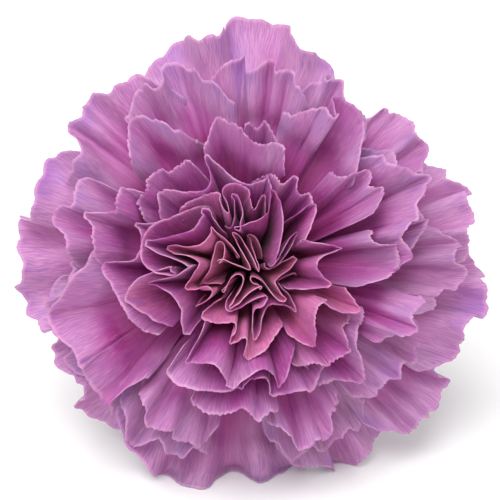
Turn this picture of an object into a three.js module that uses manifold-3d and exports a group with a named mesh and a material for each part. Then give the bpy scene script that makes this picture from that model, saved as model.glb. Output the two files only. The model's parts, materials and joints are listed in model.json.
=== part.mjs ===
// A cut carnation: ruffled petals in ten whorls, held by their claws in a green calyx on a short stem.
// Millimetres and degrees, +Z up. The flower lies on a table, on the cut end of its stem and its lowest petals.
// It is built in its own frame, with +Z along the flower's axis towards the face, +X and +Y to the right of
// and up the face, and z = 0 where the calyx splits into its teeth. The whole is tilted and set down at the end.
import * as THREE from "three";
import { mergeVertices } from "three/addons/utils/BufferGeometryUtils.js";
import Module from "manifold-3d";

// ---- driving dimensions -------------------------------------------------------------------------------
const guardReach = 36.0; // outermost petals, along the blade from the throat of the calyx to the margin
const heartReach = 21.0; // innermost petals, likewise
const guardLean = 100; // angle that the outermost blades turn away from the flower's axis
const heartLean = 9; // likewise for the innermost
const turnLength = 12.0; // length of blade over which a petal turns from upright to its lean
const petalThickness = 0.3;
const clawWidth = 1.5; // the narrow foot of a petal, inside the calyx
const ruffleHeight = 2.2; // half height of the waves at the margin
const rufflesAround = 10; // waves in a full turn
const ovaryRadius = 1.6;
const ovaryLength = 9.0;
const styleRadius = 0.35;
const styleLength = 17.0; // above the ovary
const clawSpacing = 0.2; // room between the claws of one whorl and the next
const calyxFootRadius = 4.6; // outside, where it meets the stem
const calyxLength = 26.0; // from its foot to the notches between its teeth
const calyxWall = 0.8;
const calyxFloor = 1.2; // thickness of its foot, round the stem
const toothLength = 4.5;
const teeth = 5;
const bractLength = 9.0;
const bractThickness = 0.6;
const stemRadius = 2.1;
const stemLength = 34.0; // below the calyx
const stemBow = 2.5; // how far the cut end stands off the flower's axis
const cutSlant = 25; // angle of the cut across the stem
const receptacleRadius = 3.6; // the stem's swollen tip, which the petals stand on
const receptacleLength = 7.0; // from the calyx's foot to its top
const gap = 0.3; // between pieces that touch
const settle = 2.4; // how far the lowest petals give way where they rest on the table

// ---- whorls, from the outside in ----------------------------------------------------------------------
// Each petal is [where it starts, where it ends, how much longer than its whorl], in degrees and mm.
// Directions run anticlockwise round the face from its right-hand side.
const whorls = [
  { name: "guard", petals: [[3, 27, 0.5], [72, 113, 2], [151, 190, -1], [191, 230, -3],
    [236, 281, 0], [283, 308, 0], [311, 333, 0.5], [334, 362, 2.5]] },
  { name: "lower", petals: [[28, 50, 0.5], [52, 70, -1.5], [117, 150, 2], [184, 227, -2],
    [229, 254, -2], [281, 307, -1.5], [349, 370, -1]] },
  { name: "outer", petals: [[8, 40, -1], [73, 98, 0], [99, 124, 0], [153, 176, -1],
    [232, 256, -1], [313, 341, -1]] },
  { name: "collar", petals: [[3, 39, 0], [44, 73, 0], [112, 137, -1], [175, 222, 0],
    [279, 303, 0], [334, 350, 0]] },
  { name: "middle", petals: [[26, 46, 1], [75, 98, -1], [147, 176, 0], [254, 279, 0],
    [303, 336, 0], [354, 376, 0]] },
  { name: "inner", petals: [[76, 104, 1], [118, 150, 0], [152, 206, 0], [243, 300, 0], [301, 331, 0]] },
  { name: "fold", petals: [[43, 79, 1], [80, 138, 0], [139, 207, 0], [240, 292, 0], [312, 345, 0]] },
  { name: "crest", petals: [[75, 131, 0], [133, 213, 0], [245, 292, 0], [346, 402, 0]] },
  { name: "core", petals: [[20, 110, 0], [135, 205, 0], [260, 340, 0]] },
  { name: "heart", petals: [[55, 190, 0], [235, 365, 0]] },
];

const rad = THREE.MathUtils.degToRad;
const { clamp, lerp, smoothstep } = THREE.MathUtils;
const { PI, sin, cos, hypot, atan2 } = Math;

// ---- finishes -----------------------------------------------------------------------------------------
const finish = (color, roughness) =>
  new THREE.MeshStandardMaterial({ color, roughness, metalness: 0, side: THREE.DoubleSide });
const petalFinish = finish(0xb768ad, 0.7);
const heartFinish = finish(0xa0587c, 0.7);
const calyxFinish = finish(0x7f9a6b, 0.6);
const bractFinish = finish(0x8aa273, 0.6);
const stemFinish = finish(0x86a37c, 0.55);
const pistilFinish = finish(0xe6e6cf, 0.5);

// ---- places that several pieces share -----------------------------------------------------------------
const throat = toothLength - 1.5; // height at which the guard petals start to turn outwards
const receptacleTop = -calyxLength + receptacleLength;
const petalRows = 7; // of facets along a petal: on the claw, then half on the turn and half beyond it
const clawRows = 1;
const share = (whorl) => whorl / (whorls.length - 1); // 0 for the guard petals, 1 for the heart

// Claws stand in rings round the ovary, the guard petals' outermost, and the calyx goes round them all.
const clawStep = petalThickness + clawSpacing;
const clawRadius = (whorl) => ovaryRadius + gap + petalThickness / 2 + (whorls.length - 1 - whorl) * clawStep;
const clawLength = (whorl) => throat + whorl * clawStep - receptacleTop - gap; // inner petals turn higher up
const calyxInside = clawRadius(0) + petalThickness / 2 + gap;
const calyxRadius = calyxInside + calyxWall;

// The calyx swells from its foot until it is as wide as the claws need.
function calyxOuter(height) {
  const up = clamp((height + calyxLength) / receptacleLength, 0, 1);
  return lerp(calyxFootRadius, calyxRadius, sin((up * PI) / 2));
}

// Closes a curved sheet with a thickness. at(s, t) gives its middle and its normal, with s across from
// -1 to 1 and t along from 0 to 1.
function sheetGeometry(at, columns, rows, thickness) {
  const points = [];
  const faces = [];
  const id = (side, i, j) => (side * (rows + 1) + j) * (columns + 1) + i;
  for (const side of [1, -1])
    for (let j = 0; j <= rows; j++)
      for (let i = 0; i <= columns; i++) {
        const { middle, normal } = at((2 * i) / columns - 1, j / rows);
        points.push(middle.clone().addScaledVector(normal, (side * thickness) / 2));
      }
  const quad = (a, b, c, d) => faces.push(a, b, c, a, c, d);
  for (let j = 0; j < rows; j++)
    for (let i = 0; i < columns; i++) {
      quad(id(0, i, j), id(0, i + 1, j), id(0, i + 1, j + 1), id(0, i, j + 1));
      quad(id(1, i, j), id(1, i, j + 1), id(1, i + 1, j + 1), id(1, i + 1, j));
    }
  for (let i = 0; i < columns; i++) {
    quad(id(1, i, 0), id(1, i + 1, 0), id(0, i + 1, 0), id(0, i, 0));
    quad(id(0, i, rows), id(0, i + 1, rows), id(1, i + 1, rows), id(1, i, rows));
  }
  for (let j = 0; j < rows; j++) {
    quad(id(0, 0, j), id(0, 0, j + 1), id(1, 0, j + 1), id(1, 0, j));
    quad(id(1, columns, j), id(1, columns, j + 1), id(0, columns, j + 1), id(0, columns, j));
  }
  const geometry = new THREE.BufferGeometry().setFromPoints(points).setIndex(faces);
  geometry.computeVertexNormals();
  return geometry;
}

const onCircle = (radius, angle, height) =>
  new THREE.Vector3(radius * cos(angle), radius * sin(angle), height);

// ---- petals -------------------------------------------------------------------------------------------
// Follows a petal of one whorl from its claw's foot for a length: up the calyx, then turning outwards.
// Gives the distance from the axis, the height and the direction's angle from the axis.
function alongPetal(whorl, length) {
  const lean = rad(lerp(guardLean, heartLean, share(whorl)));
  const upright = clawLength(whorl);
  if (length <= upright) return { radius: clawRadius(whorl), height: receptacleTop + gap + length, angle: 0 };
  const steps = 24;
  const step = (length - upright) / steps;
  let radius = clawRadius(whorl);
  let height = receptacleTop + gap + upright;
  let angle = 0;
  for (let i = 0; i < steps; i++) {
    angle = lean * smoothstep((i + 0.5) * step, 0, turnLength);
    radius += step * sin(angle);
    height += step * cos(angle);
  }
  return { radius, height, angle };
}

// One petal: a strip in the calyx that fans out to a rounded, waving margin.
function petalSurface(whorl, [start, end, longer]) {
  const reach = lerp(guardReach, heartReach, share(whorl)) + longer;
  const centre = rad((start + end) / 2);
  const halfSpan = rad(end - start) / 2;
  const clawSpan = clawWidth / 2 / clawRadius(whorl);
  const upright = clawLength(whorl);
  const wavePhase = 0.55 * whorl;
  return (s, t) => {
    const corner = 1 - 0.1 * Math.abs(s) ** 4;
    const past = Math.max(0, t * petalRows - clawRows) / (petalRows - clawRows);
    const beyond = past < 0.5 ? past * 2 * turnLength : lerp(turnLength, reach * corner, past * 2 - 1);
    const length = past > 0 ? upright + beyond : (upright * t * petalRows) / clawRows;
    const blade = beyond / reach;
    const { radius, height, angle } = alongPetal(whorl, length);
    const span = lerp(clawSpan, halfSpan, smoothstep(blade, 0, 0.45));
    const direction = centre + s * span;
    const outward = onCircle(cos(angle), direction, -sin(angle));
    const wave = ruffleHeight * blade ** 1.5 * sin(rufflesAround * direction + wavePhase);
    return {
      middle: onCircle(radius, direction, height).addScaledVector(outward, wave),
      normal: outward,
    };
  };
}

// ---- how the flower lies ------------------------------------------------------------------------------
// The table meets the lower edge of the cut stem and the lowest petal. lie.height is a point's height above it.
function layDown(surfaces) {
  const foot = { y: -stemRadius, z: -calyxLength - stemLength };
  let tilt = 0;
  let distance = 1;
  for (const surface of surfaces)
    for (let s = -1; s <= 1; s += 0.125) {
      const { middle } = surface(s, 1);
      const angle = atan2(foot.y - middle.y, middle.z - foot.z);
      if (angle > tilt) {
        tilt = angle;
        distance = hypot(foot.y - middle.y, middle.z - foot.z);
      }
    }
  tilt -= settle / distance;
  const up = new THREE.Vector3(0, cos(tilt), sin(tilt));
  return { tilt, up, height: (p) => (p.y - foot.y) * up.y + (p.z - foot.z) * up.z };
}

// Petals that reach the table bend along it: below the softness they are pressed up onto it.
function pressed(surface, lie) {
  const softness = 0.5;
  const lift = petalThickness / 2;
  return (s, t) => {
    const { middle, normal } = surface(s, t);
    const height = lie.height(middle) - lift;
    const settled = softness * Math.log(1 + Math.exp(Math.min(height / softness, 60)));
    return { middle: middle.addScaledVector(lie.up, Math.max(settled, height) - height), normal };
  };
}

function petals(lie, surfaces) {
  const group = new THREE.Group();
  surfaces.forEach(({ name, whorl, span, surface }) => {
    const columns = clamp(Math.ceil((span[1] - span[0]) / 7), 6, 14);
    const geometry = sheetGeometry(pressed(surface, lie), columns, petalRows, petalThickness);
    const mesh = new THREE.Mesh(geometry, whorl > 6 ? heartFinish : petalFinish);
    mesh.name = name;
    group.add(mesh);
  });
  return group;
}

// ---- calyx: a cup with five teeth ---------------------------------------------------------------------
function calyx() {
  const stemHole = stemRadius + gap;
  const swell = [0.25, 0.5, 0.75, 1].map((u) => -calyxLength + u * receptacleLength);
  const heights = [...swell, receptacleTop / 2, 0];
  const outer = heights.map((height) => new THREE.Vector2(calyxOuter(height), height));
  const inner = heights.reverse().map((height) => new THREE.Vector2(calyxOuter(height) - calyxWall, height));
  const profile = [
    new THREE.Vector2(stemHole, -calyxLength),
    new THREE.Vector2(calyxFootRadius, -calyxLength),
    ...outer,
    new THREE.Vector2(calyxRadius, toothLength * 0.5),
    new THREE.Vector2(calyxRadius, toothLength),
    new THREE.Vector2(calyxInside, toothLength),
    new THREE.Vector2(calyxInside, toothLength * 0.5),
    ...inner,
    new THREE.Vector2(calyxFootRadius - calyxWall, -calyxLength + calyxFloor),
    new THREE.Vector2(stemHole, -calyxLength + calyxFloor),
    new THREE.Vector2(stemHole, -calyxLength),
  ];
  const geometry = new THREE.LatheGeometry(profile, teeth * 6).rotateX(PI / 2);
  // The rim is pulled down between the teeth, to a point at each tooth's tip.
  const places = geometry.attributes.position;
  for (let i = 0; i < places.count; i++) {
    const height = places.getZ(i);
    if (height <= 0) continue;
    const turn = (atan2(places.getY(i), places.getX(i)) / (2 * PI)) * teeth;
    const fromTip = Math.abs(turn - Math.round(turn)) * 2; // 0 at a tip, 1 in a notch
    places.setZ(i, height * (1 - 0.85 * fromTip));
  }
  const mesh = new THREE.Mesh(closed(geometry), calyxFinish);
  mesh.name = "calyx";
  return mesh;
}

// A lathe's seam is two rows of vertices, which are merged so that the surface is closed.
function closed(geometry) {
  geometry.deleteAttribute("uv");
  geometry.deleteAttribute("normal");
  const merged = mergeVertices(geometry, 1e-3);
  merged.computeVertexNormals();
  return merged;
}

// ---- bracts: two pairs of pointed scales that clasp the foot of the calyx ------------------------------
function bracts() {
  const group = new THREE.Group();
  for (let i = 0; i < 4; i++) {
    const outerPair = i % 2;
    const clearance = gap + bractThickness / 2 + outerPair * (gap + bractThickness);
    const widest = rad(outerPair ? 50 : 58);
    const surface = (s, t) => {
      const height = -calyxLength + 0.4 + t * (bractLength - 2 * outerPair);
      const outline = t < 0.45 ? 1 : 1 - ((t - 0.45) / 0.55) ** 1.6 * 0.96;
      const direction = (i * PI) / 2 + PI / 4 + s * widest * outline;
      const radius = calyxOuter(height) + clearance + 0.5 * t ** 3;
      return {
        middle: onCircle(radius, direction, height),
        normal: onCircle(1, direction, 0),
      };
    };
    const mesh = new THREE.Mesh(sheetGeometry(surface, 8, 6, bractThickness), bractFinish);
    mesh.name = `bract_${i + 1}`;
    group.add(mesh);
  }
  return group;
}

// ---- stem, with the swollen tip that the petals stand on ----------------------------------------------
function stem() {
  const end = -calyxLength - stemLength;
  const top = receptacleTop;
  const floorTop = -calyxLength + calyxFloor + gap;
  const profile = [
    new THREE.Vector2(0, end),
    new THREE.Vector2(stemRadius, end),
    ...[0.25, 0.5, 0.75].map((u) => new THREE.Vector2(stemRadius, lerp(end, -calyxLength, u))),
    new THREE.Vector2(stemRadius * 1.25, -calyxLength - 1.6),
    new THREE.Vector2(stemRadius * 1.2, -calyxLength - gap * 2),
    new THREE.Vector2(stemRadius, -calyxLength - gap),
    new THREE.Vector2(stemRadius, floorTop - gap / 2),
    new THREE.Vector2(receptacleRadius * 0.8, floorTop),
    new THREE.Vector2(receptacleRadius, floorTop + 0.8),
    new THREE.Vector2(receptacleRadius, top - 0.6),
    new THREE.Vector2(receptacleRadius * 0.85, top),
    new THREE.Vector2(0, top),
  ];
  const geometry = new THREE.LatheGeometry(profile, 16).rotateX(PI / 2);
  const places = geometry.attributes.position;
  for (let i = 0; i < places.count; i++) {
    const height = places.getZ(i);
    const below = Math.max(0, (-calyxLength - height) / stemLength); // 1 at the cut
    if (height < end + 0.01)
      places.setZ(i, height + (places.getY(i) + stemRadius) * Math.tan(rad(cutSlant)));
    places.setX(i, places.getX(i) + stemBow * below ** 2);
  }
  const mesh = new THREE.Mesh(closed(geometry), stemFinish);
  mesh.name = "stem";
  return mesh;
}

// ---- pistil: the ovary with its two styles ------------------------------------------------------------
async function pistil() {
  const wasm = await Module();
  wasm.setup();
  const solid = (geometry) => {
    const flat = closed(geometry.index ? geometry.toNonIndexed() : geometry);
    return new wasm.Manifold(
      new wasm.Mesh({
        numProp: 3,
        vertProperties: flat.attributes.position.array,
        triVerts: new Uint32Array(flat.index.array),
      }),
    );
  };
  const foot = receptacleTop + gap;
  const profile = [0, 0.12, 0.35, 0.6, 0.85, 1].map(
    (u) => new THREE.Vector2(ovaryRadius * sin(PI * Math.min(1, 0.25 + 0.75 * u)) ** 0.7, foot + ovaryLength * u),
  );
  profile[0].x = ovaryRadius * 0.7;
  profile.unshift(new THREE.Vector2(0, foot));
  profile[profile.length - 1].x = 0;
  let whole = solid(new THREE.LatheGeometry(profile, 14).rotateX(PI / 2));
  const ring = new THREE.Shape();
  ring.absarc(0, 0, styleRadius, 0, 2 * PI);
  for (const side of [-1, 1]) {
    const start = foot + ovaryLength * 0.8;
    const path = new THREE.QuadraticBezierCurve3(
      new THREE.Vector3(side * 0.4, 0, start),
      new THREE.Vector3(side * 0.5, 0, start + styleLength * 0.6),
      new THREE.Vector3(side * 1.3, side * 0.8, start + styleLength),
    );
    const tube = new THREE.ExtrudeGeometry(ring, { steps: 8, curveSegments: 4, extrudePath: path, bevelEnabled: false });
    whole = whole.add(solid(tube));
  }
  const made = whole.getMesh();
  const geometry = new THREE.BufferGeometry()
    .setAttribute("position", new THREE.BufferAttribute(new Float32Array(made.vertProperties), 3))
    .setIndex(new THREE.BufferAttribute(made.triVerts, 1));
  geometry.computeVertexNormals();
  const mesh = new THREE.Mesh(geometry, pistilFinish);
  mesh.name = "pistil";
  return mesh;
}

// ---- the flower, laid on the table --------------------------------------------------------------------
const surfaces = whorls.flatMap(({ name, petals: spans }, whorl) =>
  spans.map((span, i) => ({ name: `${name}_petal_${i + 1}`, whorl, span, surface: petalSurface(whorl, span) })),
);
const lie = layDown(surfaces.map(({ surface }) => surface));
const flower = new THREE.Group();
flower.add(petals(lie, surfaces), calyx(), bracts(), stem(), await pistil());
flower.rotation.x = PI / 2 - lie.tilt;

const carnation = new THREE.Group();
carnation.add(flower);
const box = new THREE.Box3().setFromObject(carnation, true);
flower.position.set(-(box.min.x + box.max.x) / 2, -(box.min.y + box.max.y) / 2, -box.min.z);

export default carnation;
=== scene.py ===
# %% [markdown]
# # A cut carnation, lying on a table
# The flower was laid out as plain solids: fifty-two petals in ten rings, a calyx with five teeth, four
# bracts, a short stem and the pistil inside. Here each of them gets the shape and the finish of the real
# thing. The petals are the work: a carnation petal is a fan on a long narrow foot, and its margin grows
# much longer than the room it has, so it buckles into ruffles. We let the margins grow in the same way
# instead of drawing the ruffles.

import json
from math import cos, pi, radians, sin

import bpy
import numpy as np
from mathutils import Matrix, Vector

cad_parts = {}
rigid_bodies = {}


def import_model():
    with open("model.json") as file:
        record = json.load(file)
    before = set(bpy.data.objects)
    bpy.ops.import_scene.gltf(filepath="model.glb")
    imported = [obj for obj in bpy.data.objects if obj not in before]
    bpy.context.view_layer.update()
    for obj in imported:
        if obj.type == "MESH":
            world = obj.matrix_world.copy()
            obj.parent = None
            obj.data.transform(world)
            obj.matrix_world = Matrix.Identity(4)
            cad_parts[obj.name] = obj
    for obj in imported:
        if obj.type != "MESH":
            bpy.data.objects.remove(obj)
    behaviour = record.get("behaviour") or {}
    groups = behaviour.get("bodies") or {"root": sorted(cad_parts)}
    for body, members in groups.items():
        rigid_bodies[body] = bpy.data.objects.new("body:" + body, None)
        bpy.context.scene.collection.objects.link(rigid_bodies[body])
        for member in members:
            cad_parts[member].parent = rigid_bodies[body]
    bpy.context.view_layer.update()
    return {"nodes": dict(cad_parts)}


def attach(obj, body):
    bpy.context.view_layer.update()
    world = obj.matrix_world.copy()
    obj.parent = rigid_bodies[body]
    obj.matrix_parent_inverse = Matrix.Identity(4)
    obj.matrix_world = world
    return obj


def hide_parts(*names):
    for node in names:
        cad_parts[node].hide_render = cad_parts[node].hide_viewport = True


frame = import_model()
MM = 0.001

# %% [markdown]
# ## The flower's own directions
# The flower leans back on its stem, so it is easier to build in its own frame: z along its axis from the
# foot of the calyx towards the face, x to the right and y up the face. The calyx is a round cup, so its
# points are spread furthest along its axis, and the first principal direction of the points gives that
# axis.

# %% Measure the axis from the calyx


def node_points(name):
    """A plain solid's corners, in metres, in the common frame."""
    node = bpy.data.objects[name]
    points = np.empty(len(node.data.vertices) * 3)
    node.data.vertices.foreach_get("co", points)
    turned = points.reshape(-1, 3) @ np.array(node.matrix_world.to_3x3()).T
    return turned + np.array(node.matrix_world.translation)


calyx_points = node_points("calyx")
spread = calyx_points - calyx_points.mean(0)
axis = np.linalg.eigh(spread.T @ spread)[1][:, -1]
axis *= -np.sign(axis[1])
right = np.array([1.0, 0.0, 0.0])
up_face = np.cross(axis, right)
turn = np.stack([right, up_face, axis])  # rows are the flower's x, y and z
along = calyx_points @ axis
foot = calyx_points.mean(0) + axis * (along.min() - calyx_points.mean(0) @ axis)
print("axis", axis.round(3), "foot of the calyx", foot.round(4))


def to_flower(points):
    """Common frame in metres -> the flower's frame in millimetres."""
    return (points - foot) @ turn.T / MM


def to_common(points):
    """The flower's frame in millimetres -> common frame in metres."""
    return points * MM @ turn + foot


# %% [markdown]
# ## What each petal starts from
# All petals fan out from the throat of the calyx, so a good way to say where a point of a petal is, is
# its distance from a centre inside the calyx and its direction from there. Seen like that, each petal is
# a line that gets longer as the distance grows, and two petals never meet if their lines never cross.
# From each plain petal we take its middle direction, how wide it opens, how far it reaches and how its
# lean changes with distance.

# %% Measure the petals
CENTRE = np.array([0.0, 0.0, 18.0])  # mm above the foot of the calyx
FIRST, LAST = 12.0, 43.0  # mm from the centre, between which the petals' lines are worked out
SLICES = 36  # how many lines are worked out for a petal
THROAT = 10.5  # mm above the centre, where the claws have left the calyx
WHORLS = ["guard", "lower", "outer", "collar", "middle", "inner", "fold", "crest", "core", "heart"]
distances = np.linspace(FIRST, LAST, SLICES)


def from_centre(points):
    """Distance, lean and direction round the axis of points in the flower's frame."""
    reach = points - CENTRE
    distance = np.linalg.norm(reach, axis=-1)
    lean = np.arccos(np.clip(reach[..., 2] / distance, -1, 1))
    return distance, lean, np.arctan2(reach[..., 1], reach[..., 0])


def measure_petal(node):
    """Where a plain petal stands, how it leans and how far it reaches, as seen from the centre."""
    points = to_flower(node_points(node.name))
    distance, lean, around = from_centre(points)
    blade = points[:, 2] > CENTRE[2] + THROAT
    middle = np.angle(np.exp(1j * around[blade & (distance > 25)]).mean())
    margin = distance > distance.max() - 6
    beside = np.angle(np.exp(1j * (around[margin] - middle)))
    edges = np.linspace(distance[blade].min(), distance[blade].max(), 9)
    rings = np.clip(np.digitize(distance[blade], edges) - 1, 0, 7)
    used = [r for r in range(8) if (rings == r).any()]
    ring_distance = [distance[blade][rings == r].mean() for r in used]
    ring_lean = [lean[blade][rings == r].mean() for r in used]
    claw = points[points[:, 2] < points[:, 2].min() + 0.5].mean(0)
    return {
        "name": node.name,
        "whorl": WHORLS.index(node.name.split("_")[0]),
        "around": middle + (beside.min() + beside.max()) / 2,
        "half": (beside.max() - beside.min()) / 2,
        "reach": distance.max(),
        "lean": np.interp(distances, ring_distance, ring_lean),
        "claw": claw,
    }


petals = [measure_petal(node) for node in bpy.data.objects if "_petal_" in node.name]
petals.sort(key=lambda petal: (petal["whorl"], petal["name"]))
reaches = np.array([petal["reach"] for petal in petals])
print(len(petals), "petals, reaching", reaches.min().round(1), "to", reaches.max().round(1), "mm")

# %% [markdown]
# ## Growing the petals
# Step by step outwards from the throat, every line is made a little longer, as the real margin grows. A
# line that has no room buckles. Three gentle rules keep it a petal: neighbouring points stay evenly
# spaced, sharp bends are eased out, and the line is drawn weakly towards where its plain petal lay. Any
# two petals that come close push each other apart, so the ruffles nest as they do in the flower.

# %% What tells the whorls apart
# Each list has a value for each whorl, from the guard petals to the heart.
FULLNESS = [2.1, 2.2, 2.2, 2.1, 2.1, 2.2, 2.6, 3.2, 4.2, 5.5]  # length of the margin over its room
RIDGES = [7, 7, 6, 4, 4, 3, 3, 4, 4, 4]  # outward folds across a petal
SHARP = [0.2, 0.3, 0.5, 0.9, 1.0, 1.0, 1.0, 1.0, 0.9, 0.9]  # 0 for soft waves, 1 for folds as in cloth
RUFFLED_FROM = [0.45, 0.45, 0.4, 0.3, 0.2, 0.15, 0.1, 0.05, 0.0, 0.0]  # share of a petal that stays smooth
FIRMNESS = [0.0, 0.0, 0.1, 0.3, 0.5, 0.8, 0.8, 0.3, 0.1, 0.0]  # how hard bends are eased out
SOFT, FIRM = (0.22, 0.08, 0.02), (0.32, 0.22, 0.12)  # easing over one, two and three points, at 0 and 1
SEED = 34


def smoothstep(x, low, high):
    x = np.clip((x - low) / (high - low), 0, 1)
    return x * x * (3 - 2 * x)


def folds(random, whorl, side):
    """Where one petal folds: how far each point first sways out or in, and how stiff it is there."""
    count = RIDGES[whorl] + int(random.integers(0, 2))
    places = (np.arange(count) + 0.5 + random.uniform(-0.3, 0.3, count)) / count * 2 - 1
    heights = random.uniform(0.5, 1.3, count)
    from_ridge = np.abs(side[:, None] - places)
    tents = (heights * np.exp(-from_ridge * count / 1.1)).max(1)
    waves = (heights * np.exp(-((from_ridge * count / 0.75) ** 2))).max(1)
    sway = SHARP[whorl] * tents + (1 - SHARP[whorl]) * waves
    lopsided = random.uniform(-0.35, 0.35) * np.sin(pi * side + random.uniform(0, 2 * pi))
    sway = sway - sway.mean() + lopsided
    creased = np.exp(-((from_ridge / 0.05) ** 2)).max(1)
    return sway * random.uniform(0.7, 1.2), 1 - 0.9 * SHARP[whorl] * creased


print("whorls", dict(zip(WHORLS, RIDGES)))

# %% [markdown]
# ### The rules that keep a line a petal
# Each rule moves the points of all lines a little. None of them is strong enough alone, so they take
# turns many times at each step, as in a cloth solver. That is why they are written for all the petals at
# once: numpy then works through the whole flower in a few seconds.

# %% The rules


def pointing(lean, around):
    """Directions from the centre, as vectors of length 1."""
    out = np.sin(lean)
    return np.stack([out * np.cos(around), out * np.sin(around), np.cos(lean) + 0 * around], -1)


def unit(vectors):
    return vectors / np.linalg.norm(vectors, axis=-1, keepdims=True)


def keep_spacing(lines, spacing):
    """Draw neighbouring points towards an even spacing."""
    link = lines[:, 1:] - lines[:, :-1]
    length = np.maximum(np.linalg.norm(link, axis=-1, keepdims=True), 1e-9)
    fix = 0.45 * (length - spacing[..., None]) / length * link
    lines[:, :-1] += fix
    lines[:, 1:] -= fix


def ease_bends(lines, firmness, stiff):
    """Ease out bends over one, two and three points, least of all where the petal folds."""
    for over, soft, firm in zip((1, 2, 3), SOFT, FIRM):
        ease = 0.5 * (lines[:, 2 * over :] + lines[:, : -2 * over]) - lines[:, over:-over]
        ease *= (soft + (firm - soft) * firmness) * stiff[:, over:-over]
        lines[:, over:-over] += ease
        lines[:, : -2 * over] -= 0.5 * ease
        lines[:, 2 * over :] -= 0.5 * ease


def near_pairs(lines, owner, place, within):
    """Pairs of points that may touch: on two petals, or far enough from each other on one."""
    flat = lines.reshape(-1, 3)
    i, j = np.nonzero(np.triu(2 - 2 * flat @ flat.T < within**2, 1))
    apart = (owner[i] != owner[j]) | (np.abs(place[i] - place[j]) > 3)
    return i[apart], j[apart]


def push_apart(lines, i, j, clear):
    """Push the points i from the points j wherever they are closer than clear."""
    flat = lines.reshape(-1, 3)
    between = flat[i] - flat[j]
    length = np.linalg.norm(between, axis=-1)
    hit = length < clear
    shove = (0.5 * (clear - length[hit]) / np.maximum(length[hit], 1e-9))[:, None] * between[hit]
    i, j, count = i[hit], j[hit], len(flat)
    hits = np.bincount(i, minlength=count) + np.bincount(j, minlength=count)
    moved = [np.bincount(i, shove[:, a], count) - np.bincount(j, shove[:, a], count) for a in range(3)]
    flat = unit(flat + np.stack(moved, -1) * (1.2 / np.maximum(hits, 1) ** 0.5)[:, None])
    return flat.reshape(lines.shape)


print("rules ready")

# %% [markdown]
# ### Step by step outwards
# Every petal starts as a narrow line in the throat. At each step it is carried outwards, sways a little
# where it will fold, and gets its new length; then the rules run. The folds lean over to one side, as
# they do where petals are packed tightly, and one side of a petal lies a little outside its neighbour,
# like shingles.

# %% Grow the lines
ACROSS = 57  # points across a petal while it grows
CLAW_WIDTH = 2.0  # mm, where the petals leave the calyx
WIDER = 1.3  # a petal's own width over the width of its plain solid
SWAY = 2.0  # how far the folds push in and out as the petal grows, in mm for each mm
SLANT = 0.9  # radians that a petal's folds may lean over to one side
SHINGLE = 0.05  # radians that one side of a petal lies outside its neighbour, and the other side inside
ROUNDS = 30  # times that the rules are applied at each step
HOLD, HOLD_ENDS = 0.006, 0.04  # how weakly a line, and its two ends, are drawn to their plain places


def grow():
    random = np.random.default_rng(SEED)
    count = len(petals)
    side = np.linspace(-1, 1, ACROSS)
    around = np.array([p["around"] for p in petals])[:, None]
    half = np.array([p["half"] for p in petals])[:, None]
    reach = np.array([p["reach"] for p in petals])[:, None]
    lean = np.array([p["lean"] for p in petals])
    whorl = np.array([p["whorl"] for p in petals])
    fullness = np.array(FULLNESS)[whorl, None]
    smooth_share = np.array(RUFFLED_FROM)[whorl, None]
    firmness = np.array(FIRMNESS)[whorl, None, None]
    claw_half = CLAW_WIDTH / 2 / (FIRST * np.sin(lean[:, :1]))
    folded = [folds(random, w, side) for w in whorl]
    sway = np.array([f[0] for f in folded])
    stiff = np.array([f[1] for f in folded])[..., None]
    slant = random.uniform(-SLANT, SLANT, (count, 1, 1))
    owner, place = np.repeat(np.arange(count), ACROSS), np.tile(np.arange(ACROSS), count)
    lines = pointing(lean[:, :1] * np.ones(ACROSS), around + side * claw_half)
    grown = [lines.copy()]
    for k in range(1, SLICES):
        distance, step = distances[k], distances[k] - distances[k - 1]
        opened = np.clip((distance - FIRST) / (reach - FIRST), 0, 1.05)
        clear = (0.35 + 0.5 * min(1, (distance - FIRST) / 18)) / distance
        span = claw_half + (half * WIDER - claw_half) * np.clip(opened * 1.6, 0, 1) ** 0.8
        tilt = SHINGLE * side * min(1, (distance - FIRST) / 12)
        tilt_before = SHINGLE * side * min(1, (distance - step - FIRST) / 12)
        room = np.maximum(2 * span * np.sin(lean[:, k, None]), CLAW_WIDTH / distance)
        spacing = room * (1 + (fullness - 1) * smoothstep(opened, smooth_share, 1.0)) / (ACROSS - 1)
        here = pointing(lean[:, k, None] + tilt, around + side * span)
        before = pointing(lean[:, k - 1, None] + tilt_before, around + side * span)
        outwards = pointing(lean[:, k, None] * np.ones(ACROSS) + pi / 2, around + side * span)
        push_out = SWAY * step / distance * smoothstep(opened, smooth_share - 0.1, 0.9) * sway
        leaning = np.cos(slant) * outwards + np.sin(slant) * np.cross(here, outwards)
        lines = unit(lines + here - before + push_out[..., None] * leaning)
        i, j = near_pairs(lines, owner, place, clear * 3.2)
        for _ in range(ROUNDS):
            keep_spacing(lines, spacing)
            ease_bends(lines, firmness, stiff)
            lines += HOLD * (here - lines)
            lines[:, [0, -1]] += HOLD_ENDS * (here[:, [0, -1]] - lines[:, [0, -1]])
            lines = push_apart(lines, i, j, clear)
        grown.append(lines.copy())
    return np.stack(grown, 1)  # petal, slice, across, xyz


grown = grow()
print("grown", grown.shape)

# %% [markdown]
# ## From lines to petals
# The lines of one petal, stacked outwards, are its surface. We lay a fine grid over them. First comes the
# margin: a fan with rounded corners, low lobes and small uneven teeth, with no two petals alike.
# Modifiers have no tool for a torn margin on such a folded sheet, so the grid's last rows are simply laid
# along the teeth.

# %% The margin
OUTER_MARGIN = (1.5, 0.5, 1.1)  # mm: depth of the lobes, depth of the teeth, and their pitch
INNER_MARGIN = (0.8, 0.8, 0.85)
OUTER_LONGER, INNER_LONGER = (-2.0, 1.4), (-2.5, 1.2)  # mm that a petal may outgrow its plain solid
INNER_FROM = 4  # the first whorl that counts as inner


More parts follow.
